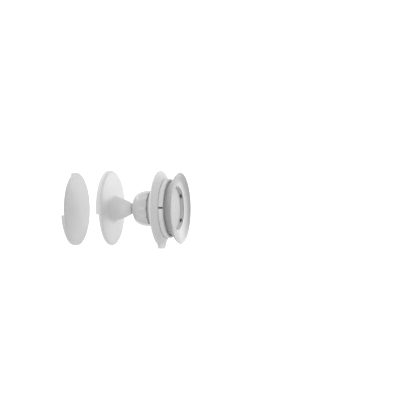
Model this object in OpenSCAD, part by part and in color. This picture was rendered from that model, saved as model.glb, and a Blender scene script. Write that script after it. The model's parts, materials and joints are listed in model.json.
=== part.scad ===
// Phone wall mount: wall plate, clip-on base with ball stem, and a locking head with a soft dish.
// X runs out of the wall, Z is up, and the origin is the middle of the wall face.

/* [Wall plate] */
// Radius of the wall plate
plate_r = 29.8; // [28:0.1:40]
// Edge thickness of the plate's face disc
plate_rim = 0.45; // [0.4:0.05:1.5]
// Distance from the wall to the edge of the face disc
plate_stand = 2.75; // [2.5:0.05:6]
// Thickness of the skirt and of the top tab, measured inwards from the edge
skirt_wall = 2.4; // [1.2:0.1:4]
// Height of the skirt's upper ends below the middle
skirt_drop = 5; // [3:0.5:12]
// Width of the top tab
tab_w = 14; // [6:0.5:20]
// Radius of the adhesive pad
pad_r = 18; // [12:0.5:22]
// Thickness of the adhesive pad
pad_t = 0.8; // [0.4:0.1:1.5]
// Radius of the steel disc let into the face
keeper_r = 26.4; // [15:0.1:26.8]
// Thickness of the steel disc
keeper_t = 0.5; // [0.4:0.1:0.6]

/* [Base] */
// Free space between the plate's face and the base's hood, as shown taken off
dock_gap = 27.15; // [5:0.05:60]
// Radius of the base disc
base_r = 29.8; // [29.2:0.1:29.9]
// Edge thickness of the base disc
base_rim = 2.4; // [1.6:0.1:3]
// Height by which the base's front bulges towards the middle
base_crown = 0.7; // [0.2:0.1:3]
// Depth by which the hood reaches behind the disc
hood_depth = 1.9; // [1.2:0.1:2.6]
// Wall thickness of the hood
hood_wall = 1; // [0.8:0.1:2]
// Height of the hood's lower ends below the middle
hood_drop = 4.6; // [0:0.1:10]
// Radius of the cover that closes the back
cover_r = 27; // [22:0.5:28]
// Thickness of that cover
cover_t = 0.8; // [0.6:0.1:1.2]
// Radius of the magnet
magnet_r = 9; // [6:0.5:9]
// Thickness of the magnet
magnet_t = 2.4; // [1:0.1:3]

/* [Stem and ball] */
// Radius of the stem at its root
stem_root_r = 9.7; // [9.3:0.1:12]
// Radius of the stem at its thin end
stem_tip_r = 4.3; // [4.2:0.1:5]
// Length of the stem from the base's rim plane
stem_len = 16.55; // [10:0.05:40]
// Outward bow of the stem's side
stem_bow = 0.4; // [0.1:0.05:1.2]
// Radius of the fillet at the stem's root
root_fillet = 3; // [1.5:0.1:5]
// Radius of the ball
ball_r = 9.9; // [9.5:0.1:10]
// Radius of the ball's neck between the stem and the collar
neck_rod_r = 2.7; // [2.5:0.1:3]
// Length of that neck
neck_rod_len = 1.63; // [1.5:0.01:4]
// Radius of the bolt's shank
bolt_r = 1.5; // [1.2:0.1:1.6]
// Radius of the bolt's head
bolt_head_r = 3; // [2.6:0.1:4]
// Height of the bolt's head
bolt_head_h = 2.2; // [1.5:0.1:3]

/* [Ball socket] */
// Thickness of the friction liner round the ball
liner_t = 0.55; // [0.4:0.05:0.6]
// Thickness of the pressure cup behind the liner
cup_t = 0.8; // [0.6:0.05:0.9]
// Half angle that the liner and the cup cover
cup_angle = 68; // [50:1:70]
// Outer radius of the threaded boss
boss_r = 12.6; // [12.4:0.1:12.8]
// Outer radius of the collar nut
collar_r = 14.2; // [14.1:0.1:16]
// Radius of the collar's rear opening
collar_open_r = 5.4; // [5.2:0.1:6]
// Distance from the collar's front end to the bottom of the ball's socket
collar_setback = 7.16; // [5:0.01:7.5]
// Length of the collar's rounded rear end
dome_len = 11.7; // [8:0.1:12]
// Number of grip flutes
flutes = 12; // [8:1:16]
// Depth of the flutes
flute_depth = 0.75; // [0.2:0.05:0.8]
// Radius of the cutter that leaves a flute
flute_r = 12; // [8:1:60]

/* [Head housing] */
// Radius of the housing's back shell
shell_r = 28.3; // [27.5:0.1:28.3]
// Wall thickness of the back shell
shell_wall = 1.6; // [1.2:0.1:2.2]
// Rise of the back shell from the boss to its edge
shell_rise = 6.5; // [6:0.1:7.5]
// Wall thickness of the tube on which the lever ring turns
tube_wall = 2; // [1.6:0.1:2.2]
// Wall thickness of the neck ring
neck_wall = 0.8; // [0.7:0.1:1.4]
// Length of the neck ring
neck_len = 3.8; // [3.4:0.1:6]
// Height of the index mark
mark_h = 1.4; // [0.8:0.1:2.4]

/* [Lever ring and cam] */
// Reach of the lever ring beyond the back shell
lever_over = 2.3; // [2.2:0.1:6]
// Axial length of the lever ring
lever_len = 5.3; // [5:0.1:6]
// Wall thickness of the lever ring
lever_wall = 1.7; // [1.2:0.1:2]
// Inward bow of the lever ring's front
lever_dip = 0.2; // [0.1:0.1:0.5]
// Reach of the thumb tab beyond the ring
thumb_reach = 1.9; // [1:0.1:8]
// Width of the thumb tab at its end
thumb_w = 11; // [6:0.5:20]
// Thickness of the thumb tab
thumb_t = 3.6; // [2:0.1:4]
// Turn of the lever ring from locked to free
lever_turn = 22; // [10:1:25]
// Thickness of the cam plate
cam_t = 1.6; // [1.2:0.1:1.7]
// Width of the return spring's strip
spring_w = 2.2; // [1:0.1:2.4]
// Number of turns of the return spring
spring_turns = 3; // [2:0.5:4]

/* [Case seat] */
// Radius of the seat that takes the case's ring
seat_r = 17.2; // [16.5:0.1:17.5]
// Depth of the rigid seat wall above the floor
seat_depth = 1.7; // [1.5:0.1:2.2]
// Thickness of the seat's floor disc
floor_t = 1.5; // [1:0.1:1.8]
// Angle of the first pawl from the horizontal
pawl_angle = 35.5; // [30:0.5:60]
// Width of a pawl
pawl_w = 2.8; // [2:0.1:4]
// Thickness of a pawl's nose
nose_t = 0.9; // [0.6:0.1:1]
// Travel of a pawl
pawl_travel = 1.3; // [0.6:0.1:1.4]
// Reach of a pawl's nose into the seat
nose_reach = 0.9; // [0.4:0.1:1.2]

/* [Dish] */
// Radius of the soft dish at its lip
dish_r = 28.9; // [24:0.1:32]
// Height of the dish above the rigid seat wall
dish_rise = 3.2; // [2:0.1:6]
// Thickness of the dish at its lip
lip_t = 0.6; // [0.4:0.1:1.6]
// Thickness of the dish's boot round the seat wall
boot_t = 1; // [0.8:0.1:1.1]
// Inward bow of the dish's front face
dish_bow = 0.5; // [0.1:0.1:1]

/* [Hidden] */
$fn = 96;

// Clearances: a close running fit, a press or glued seat, and free air
fit = 0.05;
seat_gap = 0.05;
free_gap = 0.3;
big = 200;

// Wall plate
plate_face_x = plate_stand + plate_rim;
pad_margin = 2.3;
skirt_back_x = 0.4;
edge_round = 0.2;

// Base
hood_edge_x = plate_face_x + dock_gap;
base_back_x = hood_edge_x + hood_depth;
base_face_x = base_back_x + base_rim;
hood_in_r = plate_r + free_gap;
hood_r = hood_in_r + hood_wall;
cover_front_x = base_back_x + cover_t;
magnet_front_x = cover_front_x + magnet_t + seat_gap;
shoulder_r = 1.5;

// Stem, bolt and ball
stem_tip_x = base_face_x + stem_len;
bolt_seat_x = magnet_front_x + bolt_head_h + seat_gap;
ball_x = stem_tip_x + neck_rod_len + sqrt(ball_r * ball_r - neck_rod_r * neck_rod_r);
bolt_end_x = ball_x + 2;
hex_key_r = bolt_r * 0.85;
hex_key_depth = 1.3;

// Ball socket and collar
liner_in_r = ball_r + fit;
liner_out_r = liner_in_r + liner_t;
cup_in_r = liner_out_r + fit;
cup_out_r = cup_in_r + cup_t;
socket_r = cup_out_r + fit;
collar_bore_r = boss_r + fit;
collar_lip_t = 0.8;
collar_back_x = ball_x - sqrt(liner_in_r * liner_in_r - collar_open_r * collar_open_r) - collar_lip_t;
socket_end_x = ball_x + socket_r;
collar_end_x = socket_end_x - collar_setback;
collar_lip_r = collar_open_r + 0.6;
dome_power = 0.82;
collar_step_x = ball_x - 0.8;
boss_back_x = collar_step_x + free_gap;

// Housing, whose radii follow from the case seat
ring_wall_r = seat_r + 3.3;
tube_in_r = ring_wall_r + 0.7;
tube_r = tube_in_r + tube_wall;
neck_r = tube_r + neck_wall;
lever_r = shell_r + lever_over;
shell_back_x = collar_end_x + 0.8;
shell_edge_x = shell_back_x + shell_rise;
lever_back_x = shell_edge_x + 0.6;
lever_front_x = lever_back_x + lever_len;
hub_back_x = lever_front_x - 2.9;
hub_in_r = tube_r + fit;
hub_out_r = hub_in_r + lever_wall;
bearing_x = hub_back_x - 0.1;
floor_x = socket_end_x + 2.6;
neck_back_x = lever_front_x + free_gap;
neck_front_x = neck_back_x + neck_len;
tube_end_x = neck_front_x - 0.8;
neck_bore_r = tube_r + seat_gap;
neck_round = 0.9;
mark_margin = 0.2;
mark_z = 0.4;
mark_depth = 0.5;

// Cam ring, its lugs and the spring
lugs = 3;
lug_half = 7;
lug_t = 1.8;
lug_x = hub_back_x + 0.5;
lug_r = hub_in_r + 1.1;
cam_out_r = tube_in_r - free_gap;
cam_skirt = 1.3;
cam_depth = 2.4;
cam_back_x = tube_end_x - cam_depth;
cam_front_x = cam_back_x + cam_t;
post_r = 4.6;
spring_in_r = post_r + 0.5;
spring_t = 0.5;
spring_x = floor_x + 0.3;

// Lock ring, its screws and its floor
ring_base_x = cam_front_x + 0.2;
ring_floor_x = ring_base_x + 1.4;
ledge_x = ring_floor_x + 1.6;
floor_face_x = ledge_x + floor_t;
seat_top_x = floor_face_x + seat_depth;
ledge_r = seat_r - 1.7;
floor_disc_r = seat_r - 0.2;
screws = 4;
screw_boss_r = 1.9;
screw_r = 1;
screw_len = 2.6;
screw_head_r = 1.8;
screw_head_h = 1.3;
screw_key_r = 0.8;
screw_key_depth = 0.7;
screw_pitch_r = ledge_r - screw_head_r - 1.4;
ring_in_r = screw_pitch_r - screw_boss_r - 1;
cam_in_r = screw_pitch_r + screw_boss_r + 0.2;
spring_out_r = screw_pitch_r - screw_boss_r - spring_t - 0.3;
centre_r = 1;
centre_len = 5.5;
centre_head_r = 1.4;
centre_head_h = 1.1;
centre_key_r = 0.7;
centre_key_depth = 0.7;

// Pawls
pawl_angles = [pawl_angle, 180 - pawl_angle, 180 + pawl_angle, 360 - pawl_angle];
pin_r = 0.9;
pin_x = cam_back_x + 0.2;
pin_orbit_r = seat_r - 0.6;
nose_x = floor_face_x + 0.1;
leg_in_r = seat_r + 0.5;
leg_t = 1.1;
foot_in_r = pin_orbit_r - pin_r - 0.2;
slot_play = 0.2;

// Dish
boot_in_r = ring_wall_r + seat_gap;
boot_r = boot_in_r + boot_t;
boot_back_x = ring_floor_x + 0.1;
dish_lip_x = seat_top_x + dish_rise;
apron_t = 0.5;

// Points on a circular arc from p to q that bulges to the left by sag, or to the right if negative
function bow(p, q, sag, n = 12) =
    let (d = q - p,
         l = norm(d),
         radius = (l * l / 4 + sag * sag) / (2 * sag),
         c = (p + q) / 2 - [-d[1], d[0]] / l * (radius - sag),
         a0 = atan2(p[1] - c[1], p[0] - c[0]),
         a1 = atan2(q[1] - c[1], q[0] - c[0]),
         turn = (a1 - a0 + 540) % 360 - 180)
    [for (i = [0 : n]) c + abs(radius) * [cos(a0 + turn * i / n), sin(a0 + turn * i / n)]];

// A profile of [radius, x] turned about the X axis
module turned() {
    rotate([0, 90, 0]) rotate_extrude() children();
}

// A plain disc or ring between two planes
module ring(r_out, r_in, x0, x1) {
    translate([x0, 0, 0]) rotate([0, 90, 0]) difference() {
        cylinder(r = r_out, h = x1 - x0);
        if (r_in > 0) translate([0, 0, -1]) cylinder(r = r_in, h = x1 - x0 + 2);
    }
}

// A rod along X at a given radius and angle from the horizontal
module rod(r, x0, x1, orbit = 0, angle = 0) {
    rotate([angle, 0, 0]) translate([x0, orbit, 0]) rotate([0, 90, 0]) cylinder(r = r, h = x1 - x0, $fn = 48);
}

// A wedge that fills half_angle to each side of the horizontal direction
module wedge(half_angle, reach, x0, x1) {
    translate([x0, 0, 0]) rotate([90, 0, 90]) linear_extrude(x1 - x0)
        polygon([[0, 0], for (i = [-2 : 2]) reach * [cos(half_angle * i / 2), sin(half_angle * i / 2)]]);
}

module wall_plate() {
    color("whitesmoke") difference() {
        union() {
            turned() polygon([[0, pad_t], [pad_r + pad_margin, pad_t], [plate_r, plate_stand],
                              each bow([plate_r, plate_face_x - edge_round], [plate_r - edge_round, plate_face_x],
                                       -0.06, 4),
                              [0, plate_face_x]]);
            intersection() {
                ring(plate_r, plate_r - skirt_wall, skirt_back_x, plate_stand + 0.1);
                union() {
                    translate([0, -big / 2, -skirt_drop - big]) cube(big);
                    translate([0, -tab_w / 2, 0]) cube([big, tab_w, big]);
                }
            }
        }
        ring(keeper_r + seat_gap, 0, plate_face_x - keeper_t, plate_face_x + 1);
    }
}

module adhesive_pad() {
    color("gray") ring(pad_r, 0, 0, pad_t);
}

module keeper_disc() {
    color("gainsboro") ring(keeper_r, 0, plate_face_x - keeper_t, plate_face_x);
}

// Front outline of the base from the stem's tip down to the disc's edge
base_front = [
    [stem_tip_r - 0.4, stem_tip_x],
    each bow([stem_tip_r, stem_tip_x - 0.4], [stem_root_r, base_face_x + base_crown + root_fillet], stem_bow, 14),
    each bow([stem_root_r + 0.1, base_face_x + base_crown + root_fillet - 0.5],
             [stem_root_r + root_fillet, base_face_x + base_crown], -root_fillet * 0.26, 12),
    each bow([stem_root_r + root_fillet + 1, base_face_x + base_crown - 0.05],
             [base_r - shoulder_r, base_face_x], 0.25, 10),
    each bow([base_r - shoulder_r + 0.2, base_face_x - 0.05], [base_r, base_face_x - shoulder_r], 0.3, 6)
];

module base_shell() {
    color("whitesmoke") difference() {
        union() {
            turned() polygon([[0, stem_tip_x], each base_front, [base_r, base_back_x], [0, base_back_x]]);
            difference() {
                turned() polygon([[hood_in_r, hood_edge_x], [hood_r - 0.3, hood_edge_x],
                                  [hood_r, hood_edge_x + 0.3],
                                  each bow([hood_r, base_face_x - 1.9], [base_r - shoulder_r, base_face_x - 0.05], -0.7, 8),
                                  [base_r - shoulder_r, base_back_x], [hood_in_r, base_back_x]]);
                translate([0, -big / 2, -hood_drop - big]) cube(big);
            }
        }
        ring(cover_r + seat_gap, 0, base_back_x - 1, cover_front_x);
        ring(magnet_r + seat_gap, 0, cover_front_x - 0.1, magnet_front_x);
        ring(bolt_head_r + 0.2, 0, magnet_front_x - 0.1, bolt_seat_x);
        ring(bolt_r + fit, 0, bolt_seat_x - 0.1, stem_tip_x + 1);
    }
}

module base_back_cover() {
    color("gainsboro") ring(cover_r, 0, base_back_x, cover_front_x);
}

module dock_magnet() {
    color("silver") ring(magnet_r, 0, cover_front_x, cover_front_x + magnet_t);
}

module stem_bolt() {
    color("silver") difference() {
        union() {
            ring(bolt_head_r, 0, bolt_seat_x - bolt_head_h, bolt_seat_x);
            ring(bolt_r, 0, bolt_seat_x - 0.1, bolt_end_x);
        }
        translate([bolt_seat_x - bolt_head_h - 1, 0, 0]) rotate([0, 90, 0])
            cylinder(r = hex_key_r, h = hex_key_depth + 1, $fn = 6);
    }
}

// A sphere round the ball's centre
module globe(r) {
    translate([ball_x, 0, 0]) rotate([0, 90, 0]) sphere(r = r);
}

module ball() {
    color("lightgray") difference() {
        union() {
            globe(ball_r);
            ring(neck_rod_r, 0, stem_tip_x, ball_x);
        }
        ring(bolt_r + fit, 0, stem_tip_x - 1, bolt_end_x + 0.5);
    }
}

// A spherical cup round the ball's front, cut off at a cone of the given half angle
module ball_cup(r_in, r_out) {
    cut_x = ball_x + r_out * cos(cup_angle);
    difference() {
        globe(r_out);
        globe(r_in);
        ring(r_out + 1, 0, ball_x - r_out - 1, cut_x);
    }
}

module ball_liner() {
    color("dimgray") ball_cup(liner_in_r, liner_out_r);
}

module pressure_cup() {
    color("darkgray") ball_cup(cup_in_r, cup_out_r);
}

// Rear outline of the collar, a rounded end between a circle's and a square's
collar_dome = [for (a = [0 : 6 : 90]) [collar_lip_r + (collar_r - collar_lip_r) * pow(sin(a), dome_power),
                                       collar_back_x + dome_len * (1 - pow(cos(a), dome_power))]];

module collar_nut() {
    color("lightgray") difference() {
        turned() polygon([[0, collar_back_x], each collar_dome,
                          [collar_r, collar_end_x - 0.4], [collar_r - 0.4, collar_end_x], [0, collar_end_x]]);
        globe(liner_in_r);
        turned() polygon([[0, collar_back_x - 1], [collar_lip_r + 0.3, collar_back_x - 1],
                          [collar_lip_r - 0.3, collar_back_x + 0.1], [collar_open_r, collar_back_x + collar_lip_t],
                          [0, collar_back_x + collar_lip_t]]);
        ring(collar_bore_r, 0, collar_step_x, collar_end_x + 1);
        for (i = [0 : flutes - 1])
            rod(flute_r, collar_back_x - 1, collar_end_x + 1, collar_r + flute_r - flute_depth,
                360 * (i + 0.5) / flutes);
    }
}

module head_core() {
    color("gainsboro") difference() {
        union() {
            turned() polygon([[0, boss_back_x], [boss_r - 0.3, boss_back_x], [boss_r, boss_back_x + 0.3],
                              [boss_r, shell_back_x], [shell_r - 0.4, shell_edge_x - 0.1], [shell_r, shell_edge_x + 0.3],
                              [shell_r, shell_edge_x + 1], [shell_r - 0.3, shell_edge_x + 1.2],
                              [hub_out_r, shell_edge_x + shell_wall - 1], [hub_out_r, bearing_x],
                              [tube_r, bearing_x], [tube_r, tube_end_x], [tube_in_r, tube_end_x],
                              [tube_in_r, floor_x], [0, floor_x]]);
            rod(post_r, floor_x - 0.1, ring_base_x);
            rod(post_r - 1.2, ring_base_x - 0.1, ledge_x);
            for (i = [0 : screws - 1])
                rod(screw_boss_r, floor_x - 0.1, ring_base_x, screw_pitch_r, 360 * i / screws);
        }
        globe(socket_r);
        ring(socket_r, 0, boss_back_x - 1, ball_x);
        for (i = [0 : screws - 1])
            rod(screw_r + fit, ring_base_x - screw_len - 0.4, ring_base_x + 1, screw_pitch_r, 360 * i / screws);
        ring(centre_r + fit, 0, ledge_x - centre_len - 0.5, ledge_x + 1);
        for (i = [0 : lugs - 1])
            rotate([360 * (i + 0.25) / lugs, 0, 0]) intersection() {
                rotate([lever_turn / 2, 0, 0]) wedge(lug_half + lever_turn / 2 + 2, big, lug_x - 0.2, tube_end_x + 1);
                ring(tube_r + 1, tube_in_r - 1, lug_x - 0.2, tube_end_x + 1);
            }
    }
}

// Cross-section of the lever ring
lever_profile = [
    [hub_in_r, hub_back_x],
    [hub_in_r, lever_front_x - 0.2],
    [hub_in_r + 0.2, lever_front_x],
    each bow([hub_in_r + 1.3, lever_front_x], [lever_r, lever_back_x + 1.1], -lever_dip, 14),
    each bow([lever_r, lever_back_x + 1], [lever_r - 0.7, lever_back_x], 0.25, 5),
    [lever_r - lever_wall, lever_back_x],
    each bow([lever_r - lever_wall, lever_back_x + 0.6], [hub_out_r + 0.4, lever_front_x - lever_wall - 0.4],
             lever_dip, 10),
    [hub_out_r, lever_front_x - lever_wall - 0.4],
    [hub_out_r, hub_back_x]
];

module thumb_tab() {
    root_z = lever_r - lever_wall - 0.6;
    end_z = lever_r + thumb_reach;
    half = thumb_w / 2;
    difference() {
        translate([lever_back_x - 0.9, 0, 0]) rotate([90, 0, 90]) linear_extrude(thumb_t)
            polygon([[-half - 1.5, -root_z + 1], [half + 1.5, -root_z + 1], [half + 1.2, -root_z],
                     each bow([half, -end_z + 1.2], [half - 1.2, -end_z], -0.35, 4),
                     each bow([-half + 1.2, -end_z], [-half, -end_z + 1.2], -0.35, 4), [-half - 1.2, -root_z]]);
        ring(root_z, 0, lever_back_x - 2, lever_front_x);
        for (i = [-1 : 1])
            translate([lever_back_x - 1, i * thumb_w / 4, -end_z - 0.35]) rotate([0, 90, 0])
                cylinder(r = 0.7, h = thumb_t * 0.75, $fn = 24);
    }
}

module lever_ring() {
    color("whitesmoke") difference() {
        union() {
            turned() polygon(lever_profile);
            thumb_tab();
        }
        for (i = [0 : lugs - 1])
            rotate([360 * (i + 0.25) / lugs, 0, 0]) intersection() {
                wedge(lug_half + 0.4, big, hub_back_x - 1, lug_x + lug_t + 0.2);
                ring(lug_r + 0.2, hub_in_r - 1, hub_back_x - 1, lug_x + lug_t + 0.2);
            }
    }
}

module cam_ring() {
    color("silver") difference() {
        union() {
            ring(cam_out_r, cam_in_r, cam_back_x, cam_front_x);
            ring(cam_out_r, cam_out_r - cam_skirt, lug_x, cam_back_x + 0.1);
            for (i = [0 : lugs - 1])
                rotate([360 * (i + 0.25) / lugs, 0, 0]) intersection() {
                    wedge(lug_half, big, lug_x, lug_x + lug_t);
                    ring(lug_r, cam_out_r - cam_skirt / 2, lug_x, lug_x + lug_t);
                }
        }
        for (a = pawl_angles)
            rotate([a, 0, 0]) cam_slot();
    }
}

// Slanted slot that draws a pawl's pin outwards as the cam turns
module cam_slot() {
    steps = 6;
    play_r = pin_r + slot_play;
    inner = [for (i = [0 : steps]) let (t = -0.1 + 1.2 * i / steps)
        (pin_orbit_r + pawl_travel * t - play_r) * [cos(lever_turn * t), -sin(lever_turn * t)]];
    outer = [for (i = [0 : steps]) let (t = 1.1 - 1.2 * i / steps)
        (pin_orbit_r + pawl_travel * t + play_r) * [cos(lever_turn * t), -sin(lever_turn * t)]];
    translate([cam_back_x - 1, 0, 0]) rotate([90, 0, 90]) linear_extrude(cam_t + 2)
        polygon(concat(inner, outer));
    rod(play_r, cam_back_x - 1, cam_front_x + 1, pin_orbit_r);
    rod(play_r, cam_back_x - 1, cam_front_x + 1, pin_orbit_r + pawl_travel, -lever_turn);
}

module return_spring() {
    steps = round(spring_turns * 24);
    inner = [for (i = [0 : steps]) let (r = spring_in_r + (spring_out_r - spring_in_r) * i / steps)
        r * [cos(15 * i), sin(15 * i)]];
    outer = [for (i = [steps : -1 : 0]) let (r = spring_in_r + (spring_out_r - spring_in_r) * i / steps + spring_t)
        r * [cos(15 * i), sin(15 * i)]];
    color("silver") translate([spring_x, 0, 0]) rotate([90, 0, 90]) linear_extrude(spring_w)
        polygon(concat(inner, outer));
}

// Outside of the neck ring, drawn in by inset
module neck_solid(inset) {
    turned() polygon([[0, neck_back_x], [neck_r - inset, neck_back_x],
                      each bow([neck_r - inset, neck_front_x - neck_round], [neck_r - neck_round - inset, neck_front_x],
                               -neck_round * 0.25, 6),
                      [0, neck_front_x]]);
}

module mark_block() {
    translate([neck_back_x + mark_margin, -neck_r - 1, mark_z - mark_h / 2])
        cube([neck_len - 2 * mark_margin, neck_r / 2, mark_h]);
}

module neck_ring() {
    color("whitesmoke") difference() {
        neck_solid(0);
        ring(neck_bore_r, 0, neck_back_x - 1, tube_end_x);
        ring(boot_r + 0.6, 0, neck_back_x, neck_front_x + 1);
        difference() {
            mark_block();
            neck_solid(mark_depth);
        }
    }
}

module index_mark() {
    color("black") intersection() {
        difference() {
            neck_solid(0);
            neck_solid(mark_depth);
        }
        mark_block();
    }
}

module lock_ring() {
    color("whitesmoke") difference() {
        union() {
            ring(tube_in_r - 0.1, ring_in_r, ring_base_x, ring_floor_x);
            ring(ring_wall_r, seat_r, floor_face_x - 0.1, seat_top_x);
            ring(ring_wall_r, floor_disc_r + seat_gap, ring_floor_x - 0.1, floor_face_x);
            ring(ring_wall_r, ledge_r, ring_floor_x - 0.1, ledge_x);
        }
        for (i = [0 : screws - 1])
            rod(screw_r + fit, ring_base_x - 1, ring_floor_x + 1, screw_pitch_r, 360 * i / screws);
        for (a = pawl_angles)
            rotate([a, 0, 0]) pawl_window();
    }
}

// Space for one pawl: its foot, leg, nose and pin over the whole travel
module pawl_window() {
    w = pawl_w + 0.3;
    translate([ring_floor_x, foot_in_r - 0.5, -w / 2]) cube([ledge_x - ring_floor_x, big, w]);
    translate([ring_floor_x, leg_in_r - 0.2, -w / 2])
        cube([nose_x + nose_t + 0.15 - ring_floor_x, big, w]);
    translate([floor_face_x, seat_r - 1, -w / 2])
        cube([nose_x + nose_t + 0.15 - floor_face_x, leg_in_r + leg_t - seat_r, w]);
    translate([ring_base_x - 1, pin_orbit_r, -pin_r - 0.15]) cube([big / 8, pawl_travel, 2 * pin_r + 0.3]);
    for (orbit = [pin_orbit_r, pin_orbit_r + pawl_travel])
        rod(pin_r + 0.15, ring_base_x - 1, ring_floor_x + 1, orbit);
}

module ring_screws() {
    color("silver") for (i = [0 : screws - 1])
        rotate([360 * i / screws, 0, 0]) difference() {
            union() {
                rod(screw_head_r, ring_floor_x, ring_floor_x + screw_head_h, screw_pitch_r);
                rod(screw_r, ring_base_x - screw_len, ring_floor_x + 0.1, screw_pitch_r);
            }
            translate([ring_floor_x + screw_head_h - screw_key_depth, screw_pitch_r, 0]) rotate([0, 90, 0])
                cylinder(r = screw_key_r, h = screw_key_depth + 1, $fn = 6);
        }
}

module pawl() {
    color("darkgray") {
        foot_len = leg_in_r + leg_t - foot_in_r;
        union() {
            translate([ring_floor_x + 0.1, foot_in_r, -pawl_w / 2]) cube([ledge_x - ring_floor_x - 0.2, foot_len, pawl_w]);
            translate([ring_floor_x + 0.1, leg_in_r, -pawl_w / 2])
                cube([nose_x + nose_t - ring_floor_x - 0.1, leg_t, pawl_w]);
            translate([nose_x, seat_r - nose_reach, -pawl_w / 2])
                cube([nose_t, leg_in_r + leg_t - seat_r + nose_reach, pawl_w]);
            rod(pin_r, pin_x, ring_floor_x + 0.2, pin_orbit_r);
        }
    }
}

module pawl_1() {
    rotate([pawl_angles[0], 0, 0]) pawl();
}

module pawl_2() {
    rotate([pawl_angles[1], 0, 0]) pawl();
}

module pawl_3() {
    rotate([pawl_angles[2], 0, 0]) pawl();
}

module pawl_4() {
    rotate([pawl_angles[3], 0, 0]) pawl();
}

module lock_disc() {
    color("whitesmoke") difference() {
        ring(floor_disc_r, 0, ledge_x, floor_face_x);
        ring(centre_r + fit, 0, ledge_x - 1, floor_face_x + 1);
        ring(centre_head_r + 0.1, 0, floor_face_x - centre_head_h, floor_face_x + 1);
    }
}

module centre_screw() {
    color("silver") difference() {
        union() {
            ring(centre_head_r, 0, floor_face_x - centre_head_h, floor_face_x - 0.1);
            ring(centre_r, 0, ledge_x - centre_len, floor_face_x - centre_head_h + 0.1);
        }
        translate([floor_face_x - 0.1 - centre_key_depth, 0, 0]) rotate([0, 90, 0])
            cylinder(r = centre_key_r, h = centre_key_depth + 1, $fn = 6);
    }
}

module dish() {
    lip = [dish_r, dish_lip_x];
    color("white") turned() polygon([
        [seat_r + 0.2, seat_top_x],
        [boot_in_r, seat_top_x],
        [boot_in_r, boot_back_x],
        [boot_r, boot_back_x],
        [boot_r, boot_back_x + 0.8],
        each bow([boot_r + 0.1, boot_back_x + 1], lip + [0, -lip_t], 0.35, 8),
        each bow(lip + [0, -lip_t], lip, -lip_t * 0.3, 4),
        each bow(lip + [-0.3, 0.1], [seat_r + 0.6, seat_top_x + apron_t + 0.1], dish_bow, 10),
        [seat_r + 0.2, seat_top_x + apron_t - 0.1]
    ]);
}

wall_plate();
adhesive_pad();
keeper_disc();
base_shell();
base_back_cover();
dock_magnet();
stem_bolt();
ball();
ball_liner();
pressure_cup();
collar_nut();
head_core();
lever_ring();
cam_ring();
return_spring();
neck_ring();
index_mark();
lock_ring();
ring_screws();
pawl_1();
pawl_2();
pawl_3();
pawl_4();
lock_disc();
centre_screw();
dish();
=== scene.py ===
import json
import math

import bpy
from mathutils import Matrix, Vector


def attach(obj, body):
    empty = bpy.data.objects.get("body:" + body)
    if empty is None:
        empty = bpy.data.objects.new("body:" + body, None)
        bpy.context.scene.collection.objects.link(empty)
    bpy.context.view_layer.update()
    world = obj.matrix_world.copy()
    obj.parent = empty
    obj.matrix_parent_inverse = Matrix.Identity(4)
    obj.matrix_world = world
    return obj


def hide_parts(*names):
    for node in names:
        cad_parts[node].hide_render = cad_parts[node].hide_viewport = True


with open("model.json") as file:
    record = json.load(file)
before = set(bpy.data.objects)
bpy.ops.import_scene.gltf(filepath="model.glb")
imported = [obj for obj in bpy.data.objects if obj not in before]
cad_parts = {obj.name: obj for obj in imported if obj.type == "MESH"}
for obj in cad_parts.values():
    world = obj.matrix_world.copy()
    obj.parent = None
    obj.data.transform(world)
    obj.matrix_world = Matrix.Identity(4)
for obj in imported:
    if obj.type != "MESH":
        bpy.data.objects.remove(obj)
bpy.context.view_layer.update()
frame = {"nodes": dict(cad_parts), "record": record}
nodes = frame["nodes"]
mm = 0.001
print("frame loaded:", len(nodes), "nodes")


# Camera: long lens, level with the stem, a little round towards the dish, and not quite straight
shot = dict(azimuth=15.3, distance=1.1, lookAtX=0.1144, lookAtZ=0.0, lens=119.0, roll=0.41, clipStart=0.05)


def addCamera():
    side = math.radians(shot["azimuth"])
    target = Vector((shot["lookAtX"], 0, shot["lookAtZ"]))
    spot = target + shot["distance"] * Vector((math.sin(side), -math.cos(side), 0))
    bpy.ops.object.camera_add(location=spot, rotation=(math.pi / 2, math.radians(shot["roll"]), side))
    camera = bpy.context.object
    camera.name = "productCamera"
    camera.data.lens = shot["lens"]
    camera.data.clip_start = shot["clipStart"]
    bpy.context.scene.camera = camera


addCamera()


# Studio: pale floor and backdrop, near white to the eye and in gloss, and soft lamps that light the object
studio = dict(
    floorZ=-0.35,
    floorSize=8.0,
    floorHex="#D0D0D0",
    floorGlow=0.9,
    backdropY=1.4,
    backdropSize=2.0,
    worldLight=0.7,
    aim=(0.05, 0, 0),  # the middle of the mount
    lamps={  # places and sizes in metres
        "leftLamp": dict(place=(-0.84, 0.16, 0.0), size=0.5, watts=2.0),
        "leftHighLamp": dict(place=(-0.58, 0.11, 0.64), size=0.5, watts=2.8),
        "frontLamp": dict(place=(-0.3, -0.9, -0.05), size=0.12, watts=1.1),
        "rightLamp": dict(place=(0.74, -0.58, 0.0), size=0.5, watts=0.15),
        "rightHighLamp": dict(place=(0.56, -0.43, 0.6), size=0.5, watts=0.6),
        "rearLamp": dict(place=(0.56, 0.73, 0.16), size=0.5, watts=2.25),
    },
)


def linear(hexColour):  # sRGB hex to the linear values that the shaders want
    parts = [int(hexColour[i:i + 2], 16) / 255 for i in (1, 3, 5)]
    return [p / 12.92 if p <= 0.04045 else ((p + 0.055) / 1.055) ** 2.4 for p in parts] + [1.0]


def addNode(tree, kind, links=None, **settings):  # one node, its settings, and what feeds its sockets
    node = tree.nodes.new(kind)
    for key, value in settings.items():
        if hasattr(node, key):
            setattr(node, key, value)
        else:
            node.inputs[key.replace("_", " ")].default_value = value
    for socket, source in (links or {}).items():
        tree.links.new(source, node.inputs[socket])
    return node


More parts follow.
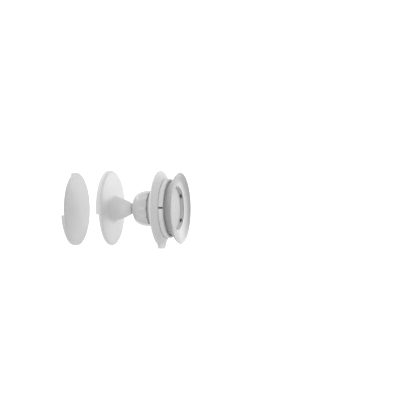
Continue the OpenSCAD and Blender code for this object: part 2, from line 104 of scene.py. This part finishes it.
def newMaterial(name):
    material = bpy.data.materials.new(name)
    material.use_nodes = True
    tree = material.node_tree
    tree.nodes.clear()
    return material, tree


def addLamp(name, place, size, watts):  # a square soft box, turned to the mount
    bpy.ops.object.light_add(type="AREA", location=place)
    lamp = bpy.context.object
    lamp.name = name
    lamp.data.size = size
    lamp.data.energy = watts
    direction = Vector(studio["aim"]) - Vector(place)
    lamp.rotation_euler = direction.to_track_quat("-Z", "Y").to_euler()


def seenDirectly(tree):  # 1 where the eye, a reflection or a clear piece looks at the surroundings, otherwise 0
    rays = addNode(tree, "ShaderNodeLightPath")
    clear = addNode(tree, "ShaderNodeMath", {0: rays.outputs["Is Camera Ray"], 1: rays.outputs["Is Transmission Ray"]},
                    operation="MAXIMUM")
    return addNode(tree, "ShaderNodeMath", {0: clear.outputs[0], 1: rays.outputs["Is Glossy Ray"]},
                   operation="MAXIMUM")


def studioPaint():  # matte emulsion, rolled on: no gloss, near white to the eye, greyer where the object shades it
    material, tree = newMaterial("studioPaint")
    paint = addNode(tree, "ShaderNodeBsdfDiffuse", Color=linear(studio["floorHex"]))
    seen = seenDirectly(tree)
    level = addNode(tree, "ShaderNodeMath", {0: seen.outputs[0]}, operation="MULTIPLY")
    level.inputs[1].default_value = studio["floorGlow"]
    glow = addNode(tree, "ShaderNodeEmission", {"Strength": level.outputs[0]}, Color=(1, 1, 1, 1))
    both = addNode(tree, "ShaderNodeAddShader", {0: paint.outputs[0], 1: glow.outputs[0]})
    addNode(tree, "ShaderNodeOutputMaterial", {"Surface": both.outputs[0]})
    return material


def buildStudio():
    bpy.ops.object.select_all(action="DESELECT")
    bpy.ops.mesh.primitive_plane_add(size=studio["floorSize"], location=(0, 0, studio["floorZ"]))
    floor = bpy.context.object
    floor.name = "studioFloor"
    bpy.ops.mesh.primitive_plane_add(size=studio["backdropSize"], location=(0, studio["backdropY"], 0),
                                     rotation=(math.pi / 2, 0, 0))
    backdrop = bpy.context.object
    backdrop.name = "studioBackdrop"
    paint = studioPaint()
    for card in (floor, backdrop):
        card.data.materials.append(paint)
    for name, lamp in studio["lamps"].items():
        addLamp(name, **lamp)
    world = bpy.data.worlds.new("studioWorld")
    bpy.context.scene.world = world
    world.use_nodes = True
    tree = world.node_tree
    tree.nodes.clear()
    seen = seenDirectly(tree)
    level = addNode(tree, "ShaderNodeMath", {0: seen.outputs[0]}, operation="MAXIMUM")
    level.inputs[1].default_value = studio["worldLight"]
    sky = addNode(tree, "ShaderNodeBackground", {"Strength": level.outputs[0]}, Color=(1, 1, 1, 1))
    addNode(tree, "ShaderNodeOutputWorld", {"Surface": sky.outputs[0]})


buildStudio()
bpy.context.scene.view_settings.view_transform = "Standard"
print("studio ready")


# What all moulded finishes share: the painted shade in the pits of the grain, and how far the gloss wanders
mouldGrain = dict(pitStart=0.4, pitFull=0.65, pitHex="#B4B4B4", pitShade=0.1, glossSpread=0.06, bloomRough=0.3,
                  grainDetail=2.0, flowDetail=1.0)


def mouldedFinish(look):  # grain from the mould's surface, with painted shade in its pits, over the faint cloudiness of a filled resin
    material, tree = newMaterial(look["finish"])
    place = addNode(tree, "ShaderNodeTexCoord")
    grain = addNode(tree, "ShaderNodeTexNoise", {"Vector": place.outputs["Object"]},
                    Scale=1000 / look["grainMm"], Detail=mouldGrain["grainDetail"])
    flow = addNode(tree, "ShaderNodeTexNoise", {"Vector": place.outputs["Object"]},
                   Scale=1000 / look["flowMm"], Detail=mouldGrain["flowDetail"])
    tint = addNode(tree, "ShaderNodeMix", {"Factor": flow.outputs["Fac"]}, data_type="RGBA")
    tint.inputs[6].default_value = linear(look["hex"])
    tint.inputs[7].default_value = linear(look["hexFlow"])
    # painted shade: where the grain noise is high, the colour is darkened towards pitHex, by up to pitShade
    pits = addNode(tree, "ShaderNodeMapRange", {"Value": grain.outputs["Fac"]})
    pits.inputs["From Min"].default_value = mouldGrain["pitStart"]
    pits.inputs["From Max"].default_value = mouldGrain["pitFull"]
    pits.inputs["To Max"].default_value = look.get("pitShade", mouldGrain["pitShade"])
    pitShaded = addNode(tree, "ShaderNodeMix", {"Factor": pits.outputs[0], 6: tint.outputs[2]}, data_type="RGBA",
                      blend_type="MULTIPLY")
    pitShaded.inputs[7].default_value = linear(mouldGrain["pitHex"])
    gloss = addNode(tree, "ShaderNodeMapRange", {"Value": grain.outputs["Fac"]})
    gloss.inputs["To Min"].default_value = look["rough"] - mouldGrain["glossSpread"]
    gloss.inputs["To Max"].default_value = look["rough"] + mouldGrain["glossSpread"]
    relief = addNode(tree, "ShaderNodeBump", {"Height": grain.outputs["Fac"]},
                     Strength=look["grainStrength"], Distance=look["grainDepthMm"] * mm)
    body = addNode(tree, "ShaderNodeBsdfPrincipled",
                   {"Base Color": pitShaded.outputs[2], "Roughness": gloss.outputs[0], "Normal": relief.outputs[0]})
    body.inputs["IOR"].default_value = look["ior"]
    body.inputs["Sheen Weight"].default_value = look.get("bloom", 0.0)
    body.inputs["Sheen Roughness"].default_value = mouldGrain["bloomRough"]
    addNode(tree, "ShaderNodeOutputMaterial", {"Surface": body.outputs[0]})
    return material


# One look for each material slot. grainMm is the mould's grain, flowMm the cloudiness, hexFlow its darker tone.
mouldedLooks = {
    # ABS from a spark-eroded mould: an even satin, with no image in it
    "plate_plastic": dict(finish="plateSatinAbs", hex="#D8D8D8", hexFlow="#D4D4D4", rough=0.5, grainMm=0.5,
                          flowMm=18, grainStrength=0.25, grainDepthMm=0.02, ior=1.52),
    # The same ABS from a finer mould: a broad soft light along the stem
    "base_plastic": dict(finish="baseSatinAbs", hex="#E5E5E5", hexFlow="#E1E1E1", rough=0.45, grainMm=0.5,
                         flowMm=18, grainStrength=0.25, grainDepthMm=0.02, ior=1.52),
    # ABS, coarsely eroded: a dull back that isn't meant to be seen
    "cover_plastic": dict(finish="coverDullAbs", hex="#CFCFCF", hexFlow="#CACACA", rough=0.6, grainMm=0.7,
                          flowMm=18, grainStrength=0.3, grainDepthMm=0.03, ior=1.52),
    # Acetal from a polished mould: a waxy gloss
    "ball_plastic": dict(finish="ballWaxyAcetal", hex="#E6E6E6", hexFlow="#E2E2E2", rough=0.35, grainMm=0.4,
                         flowMm=12, grainStrength=0.15, grainDepthMm=0.02, ior=1.5),
    # Filled nylon, moulded: dark and dry, it grips the ball
    "liner_plastic": dict(finish="linerDarkNylon", hex="#5A5A5A", hexFlow="#555555", rough=0.5, grainMm=0.5,
                          flowMm=12, grainStrength=0.2, grainDepthMm=0.02, ior=1.48),
    # Glass-filled nylon, moulded: mid grey and dull
    "cup_plastic": dict(finish="cupGreyNylon", hex="#808080", hexFlow="#7A7A7A", rough=0.55, grainMm=0.5,
                        flowMm=12, grainStrength=0.2, grainDepthMm=0.02, ior=1.5),
    # ABS from a finely ground mould: the flutes catch clear highlights
    "collar_plastic": dict(finish="collarGlossAbs", hex="#D6D6D6", hexFlow="#D2D2D2", rough=0.3, grainMm=0.45,
                           flowMm=14, grainStrength=0.2, grainDepthMm=0.02, ior=1.52),
    # Glass-filled nylon, moulded: a dry, flat grey
    "housing_plastic": dict(finish="housingDryNylon", hex="#BCBCBC", hexFlow="#B6B6B6", rough=0.6, grainMm=0.6,
                            flowMm=18, grainStrength=0.3, grainDepthMm=0.03, ior=1.52),
    # ABS from a sand-blasted mould: fine sandy grain, its pits darkened with painted shade. The real grain is 0.3 mm,
    # drawn coarser so that it shows
    "lever_plastic": dict(finish="leverSandyAbs", hex="#EDEDED", hexFlow="#E9E9E9", rough=0.5, grainMm=0.75,
                          flowMm=14, grainStrength=0.5, grainDepthMm=0.05, ior=1.52, pitShade=0.22),
    # Acetal, moulded: dull grey, slides without grease
    "cam_plastic": dict(finish="camDullAcetal", hex="#B0B0B0", hexFlow="#AAAAAA", rough=0.55, grainMm=0.6,
                        flowMm=14, grainStrength=0.3, grainDepthMm=0.03, ior=1.48),
    # The lever's sandy ABS in a slightly darker batch: grain and painted pit shade as on the lever
    "neck_plastic": dict(finish="neckSandyAbs", hex="#E8E8E8", hexFlow="#E4E4E4", rough=0.5, grainMm=0.75,
                         flowMm=14, grainStrength=0.5, grainDepthMm=0.05, ior=1.52, pitShade=0.22),
    # Pad-printed ink: flat black
    "mark_black": dict(finish="markPrintedInk", hex="#0C0C0C", hexFlow="#121212", rough=0.5, grainMm=0.4,
                       flowMm=5, grainStrength=0.2, grainDepthMm=0.01, ior=1.5),
    # ABS, spark-eroded: an even satin round the seat
    "seat_plastic": dict(finish="seatSatinAbs", hex="#E6E6E6", hexFlow="#E2E2E2", rough=0.5, grainMm=0.5,
                         flowMm=14, grainStrength=0.25, grainDepthMm=0.02, ior=1.52),
    # ABS, spark-eroded: a darker satin than the seat round it
    "floor_plastic": dict(finish="floorSatinAbs", hex="#C0C0C0", hexFlow="#BCBCBC", rough=0.45, grainMm=0.5,
                          flowMm=14, grainStrength=0.25, grainDepthMm=0.02, ior=1.52),
    # Silicone rubber from a polished mould: blurred reflections, and a pale bloom where it is seen at a slant
    "dish_silicone": dict(finish="dishSoftSilicone", hex="#B6B6B6", hexFlow="#B1B1B1", rough=0.26, grainMm=1.6,
                          flowMm=12, grainStrength=0.08, grainDepthMm=0.02, ior=1.43, bloom=0.65),
    # Acrylic foam cut from sheet: dull, with cells that show as pits
    "foam_pad": dict(finish="padAcrylicFoam", hex="#A8A8A8", hexFlow="#9E9E9E", rough=0.8, grainMm=0.8,
                     flowMm=8, grainStrength=0.7, grainDepthMm=0.2, ior=1.45),
    # Steel with a baked powder coat: a faint orange peel
    "keeper_paint": dict(finish="keeperPowderCoat", hex="#D4D4D4", hexFlow="#D0D0D0", rough=0.42, grainMm=0.9,
                         flowMm=20, grainStrength=0.2, grainDepthMm=0.02, ior=1.5),
}

# What all metal finishes share
metalGrain = dict(detail=3.0, duller=0.1, glossier=0.05, reliefStrength=0.15, reliefMm=0.02)


def metalFinish(look):  # plated or bare metal: tone and gloss vary a little over its crystals and tool marks
    material, tree = newMaterial(look["finish"])
    place = addNode(tree, "ShaderNodeTexCoord")
    marks = addNode(tree, "ShaderNodeTexNoise", {"Vector": place.outputs["Object"]},
                    Scale=1000 / look["markMm"], Detail=metalGrain["detail"])
    shade = addNode(tree, "ShaderNodeMix", {"Factor": marks.outputs["Fac"]}, data_type="RGBA")
    shade.inputs[6].default_value = linear(look["hex"])
    shade.inputs[7].default_value = linear(look["hexMark"])
    gloss = addNode(tree, "ShaderNodeMapRange", {"Value": marks.outputs["Fac"]})
    gloss.inputs["To Min"].default_value = look["rough"] - metalGrain["glossier"]
    gloss.inputs["To Max"].default_value = look["rough"] + metalGrain["duller"]
    relief = addNode(tree, "ShaderNodeBump", {"Height": marks.outputs["Fac"]},
                     Strength=metalGrain["reliefStrength"], Distance=metalGrain["reliefMm"] * mm)
    body = addNode(tree, "ShaderNodeBsdfPrincipled",
                   {"Base Color": shade.outputs[2], "Roughness": gloss.outputs[0], "Normal": relief.outputs[0]})
    body.inputs["Metallic"].default_value = 1.0
    addNode(tree, "ShaderNodeOutputMaterial", {"Surface": body.outputs[0]})
    return material


metalLooks = {
    # Nickel plating on a pressed magnet: bright, with a soft image
    "magnet_plating": dict(finish="magnetNickelPlate", hex="#B8B8B8", hexMark="#A8A8A8", rough=0.22, markMm=0.5),
    # Zinc plating on turned steel: grey and half dull
    "zinc_steel": dict(finish="screwZincSteel", hex="#AFAFAF", hexMark="#9C9C9C", rough=0.35, markMm=0.4),
    # Rolled spring steel: darker, smooth
    "spring_steel": dict(finish="springRolledSteel", hex="#8E8E8E", hexMark="#7E7E7E", rough=0.3, markMm=0.3),
    # Die-cast zinc, tumbled: dark grey specks at the seat's edge
    "pawl_zinc": dict(finish="pawlCastZinc", hex="#6E6E6E", hexMark="#626262", rough=0.45, markMm=0.4),
}

materials = {}
for slotName, look in mouldedLooks.items():
    materials[slotName] = mouldedFinish(look)
for slotName, look in metalLooks.items():
    materials[slotName] = metalFinish(look)

for entry in frame["record"]["subparts"]:
    piece = nodes[entry["node"]]
    for i in range(len(piece.material_slots)):
        piece.material_slots[i].material = materials[entry["material_slot"]]
    if not piece.material_slots:
        piece.data.materials.append(materials[entry["material_slot"]])
print("finishes assigned:", len(materials))


# Dish and foam: how close two corners merge, in metres, and how often the mesh is subdivided
meshEnd = dict(mergeWithin=1e-6, subdivisions=1)


def pullRings(name, rings, sides):  # a circle across X, extruded from ring to ring
    bpy.ops.object.select_all(action="DESELECT")
    radius, x = rings[0]
    bpy.ops.mesh.primitive_circle_add(vertices=sides, radius=radius * mm, location=(x * mm, 0, 0),
                                      rotation=(0, math.pi / 2, 0))
    piece = bpy.context.object
    piece.name = name
    bpy.ops.object.transform_apply(location=True, rotation=True, scale=True)
    bpy.ops.object.mode_set(mode="EDIT")
    bpy.ops.mesh.select_all(action="SELECT")
    for nextRadius, nextX in rings[1:]:
        bpy.ops.mesh.extrude_region_move(TRANSFORM_OT_translate={"value": ((nextX - x) * mm, 0, 0)})
        grow = nextRadius / radius
        bpy.ops.transform.resize(value=(1, grow, grow), center_override=(nextX * mm, 0, 0))
        radius, x = nextRadius, nextX
    return piece


def selectOpenEdges():
    bpy.ops.mesh.select_all(action="DESELECT")
    bpy.ops.mesh.select_mode(type="EDGE")
    bpy.ops.mesh.select_non_manifold(extend=False, use_wire=False, use_multi_face=False, use_non_contiguous=False,
                                     use_verts=False)


def finishPiece(piece):  # normals out, subdivision applied, smooth shading
    bpy.ops.mesh.select_all(action="SELECT")
    bpy.ops.mesh.remove_doubles(threshold=meshEnd["mergeWithin"])
    bpy.ops.mesh.normals_make_consistent(inside=False)
    bpy.ops.object.mode_set(mode="OBJECT")
    smooth = piece.modifiers.new("subdivide", "SUBSURF")
    smooth.levels = smooth.render_levels = meshEnd["subdivisions"]
    bpy.ops.object.modifier_apply(modifier="subdivide")
    bpy.ops.object.shade_smooth()


# Dish: one moulding, drawn as rings (radius, x) in mm from the end of its boot to the lip and back to the seat
dishCup = dict(
    sides=128,
    boot=[(20.58, 84.3), (20.6, 84.12), (20.74, 84.03), (21.34, 84.03), (21.5, 84.12), (21.53, 84.3), (21.53, 84.85)],
    flare=[(21.66, 85.08), (21.98, 85.42), (22.75, 86.28), (23.85, 87.33), (25.05, 88.36), (26.35, 89.36),
           (27.6, 90.28), (28.45, 90.96)],
    lip=[(28.7, 91.2), (28.86, 91.44), (28.87, 91.68), (28.78, 91.84), (28.58, 91.92)],
    face=[(28.3, 91.88), (27.3, 91.47), (25.6, 90.84), (23.6, 90.22), (21.6, 89.74), (19.7, 89.4), (18.3, 89.22),
          (17.8, 89.16)],
    seatEdge=[(17.56, 89.05), (17.46, 88.9), (17.52, 88.76), (17.7, 88.72), (20.3, 88.72), (20.52, 88.64),
              (20.57, 88.45)],
)


def makeDish():
    rings = dishCup["boot"] + dishCup["flare"] + dishCup["lip"] + dishCup["face"] + dishCup["seatEdge"]
    piece = pullRings("dishCup", rings, dishCup["sides"])
    selectOpenEdges()
    bpy.ops.mesh.bridge_edge_loops()  # the boot's bore closes the section
    finishPiece(piece)
    piece.data.materials.append(materials["dish_silicone"])
    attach(piece, "head")
    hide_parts("dish")


# Foam pad: cut from sheet, so its edge is pinched in the middle by the blade
foamDisc = dict(
    sides=96,
    rim=[(17.55, 0.0), (17.86, 0.05), (17.95, 0.14), (17.84, 0.4), (17.95, 0.66), (17.86, 0.77), (17.55, 0.8)],
    inset=5.0,
    insets=3,
)


def makeFoam():
    piece = pullRings("foamDisc", foamDisc["rim"], foamDisc["sides"])
    selectOpenEdges()
    bpy.ops.mesh.edge_face_add()
    bpy.ops.mesh.select_mode(type="FACE")
    for i in range(foamDisc["insets"]):
        bpy.ops.mesh.inset(thickness=foamDisc["inset"] * mm, use_individual=True)
    finishPiece(piece)
    piece.data.materials.append(materials["foam_pad"])
    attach(piece, "wall")
    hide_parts("adhesive_pad")


makeDish()
makeFoam()
print("soft pieces modelled")
